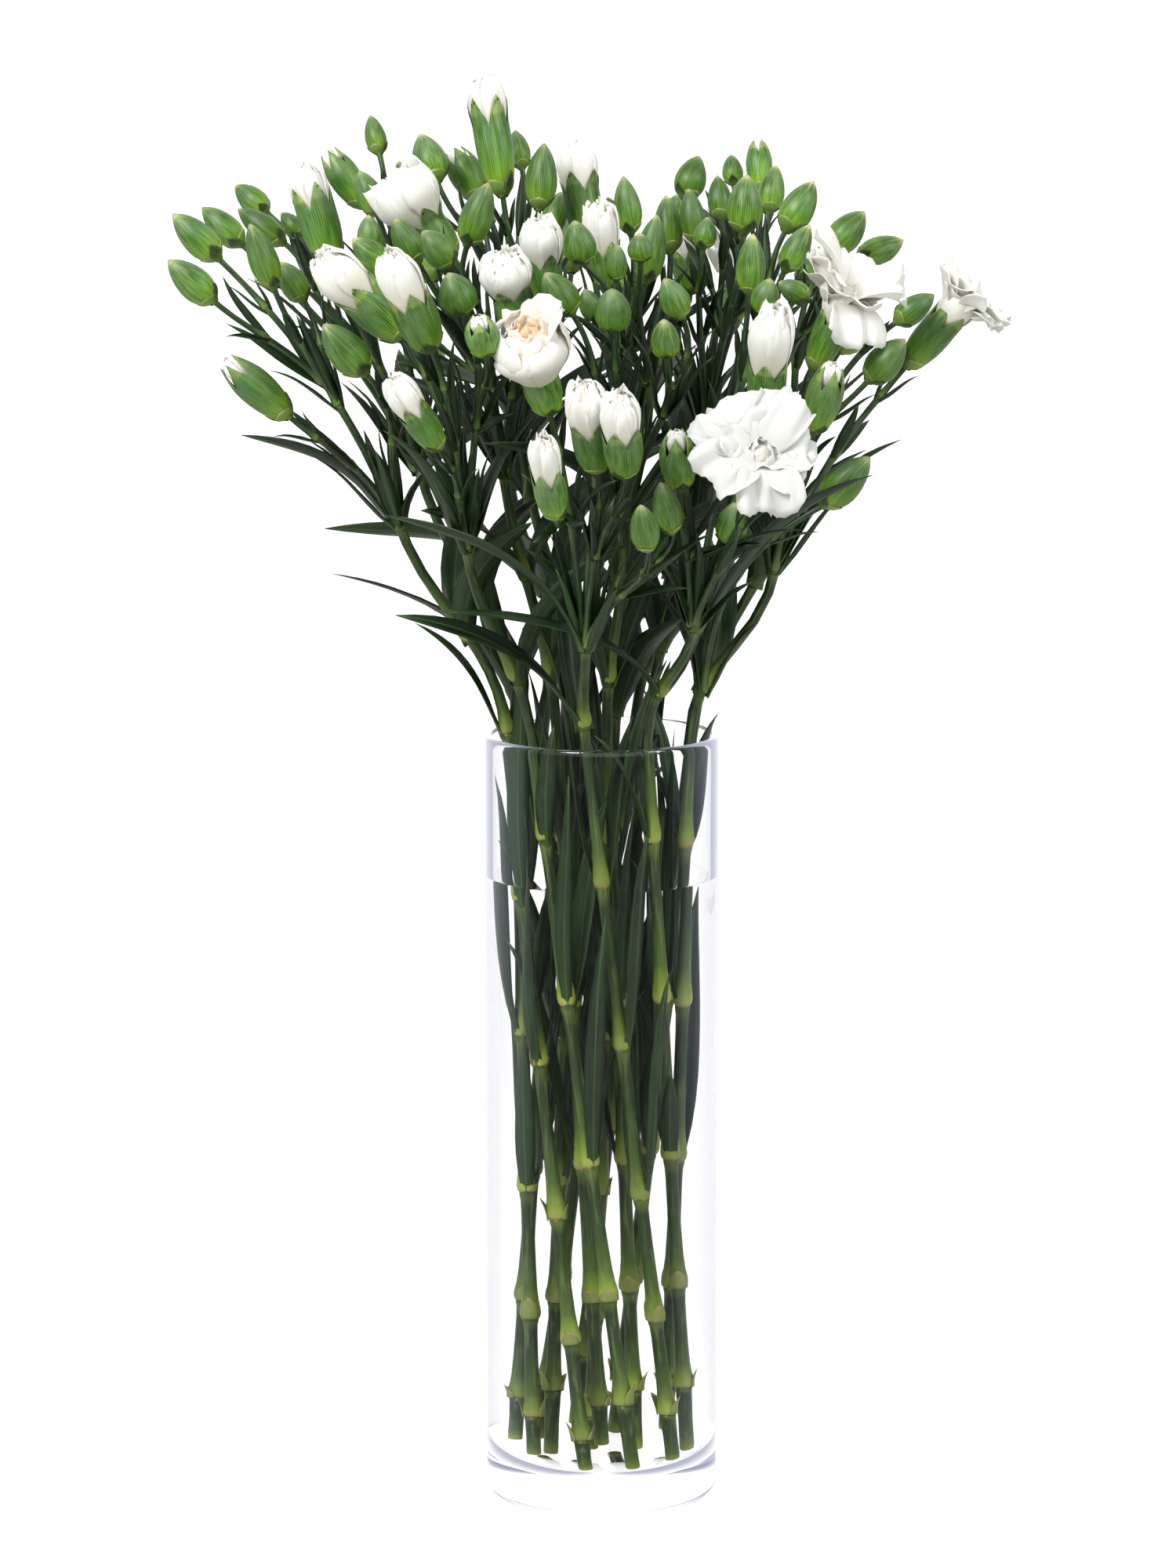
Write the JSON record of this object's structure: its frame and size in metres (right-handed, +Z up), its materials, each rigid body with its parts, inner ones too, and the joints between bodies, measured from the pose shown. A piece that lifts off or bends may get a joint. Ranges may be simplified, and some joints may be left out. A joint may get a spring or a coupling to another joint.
{
  "type": "cut carnation",
  "caption": "Bunch of cut spray carnations, mostly green buds with some white flowers, standing in a tall clear glass cylinder vase of water.",
  "frame": {"origin": "centre of the vase's foot, on the surface it stands on", "axes": "+Z up along the vase's axis, -Y towards the front of the bunch, +X to its right"},
  "size_m": [0.3108, 0.2849, 0.5496],
  "materials": {
    "glass": "clear polished glass",
    "water": "clear still water",
    "greenery": "waxy green stems, leaves and buds",
    "petals": "matt white petals"
  },
  "bodies": {
    "root": {"vase": "glass", "water": "water", "stem_01": "greenery", "stem_02": "greenery", "stem_03": "greenery", "stem_04": "greenery", "stem_05": "greenery", "stem_06": "greenery", "stem_07": "greenery", "stem_08": "greenery", "stem_09": "greenery", "stem_10": "greenery", "stem_11": "greenery", "stem_12": "greenery", "stem_13": "greenery", "stem_14": "greenery", "bloom_centre_back": "petals", "bloom_centre_high": "petals", "bloom_centre_left": "petals", "bloom_centre_mid": "petals", "bloom_front_left": "petals", "bloom_front_low": "petals", "bloom_front_right": "petals", "bloom_front_rose": "petals", "bloom_left_high": "petals", "bloom_left_low": "petals", "bloom_left_outer": "petals", "bloom_left_upper": "petals", "bloom_left_wide": "petals", "bloom_rear_centre": "petals", "bloom_rear_left": "petals", "bloom_rear_right": "petals", "bloom_right_back": "petals", "bloom_right_egg": "petals", "bloom_right_far": "petals", "bloom_right_front": "petals", "bloom_right_wide": "petals", "bloom_top": "petals"}
  },
  "joints": []
}
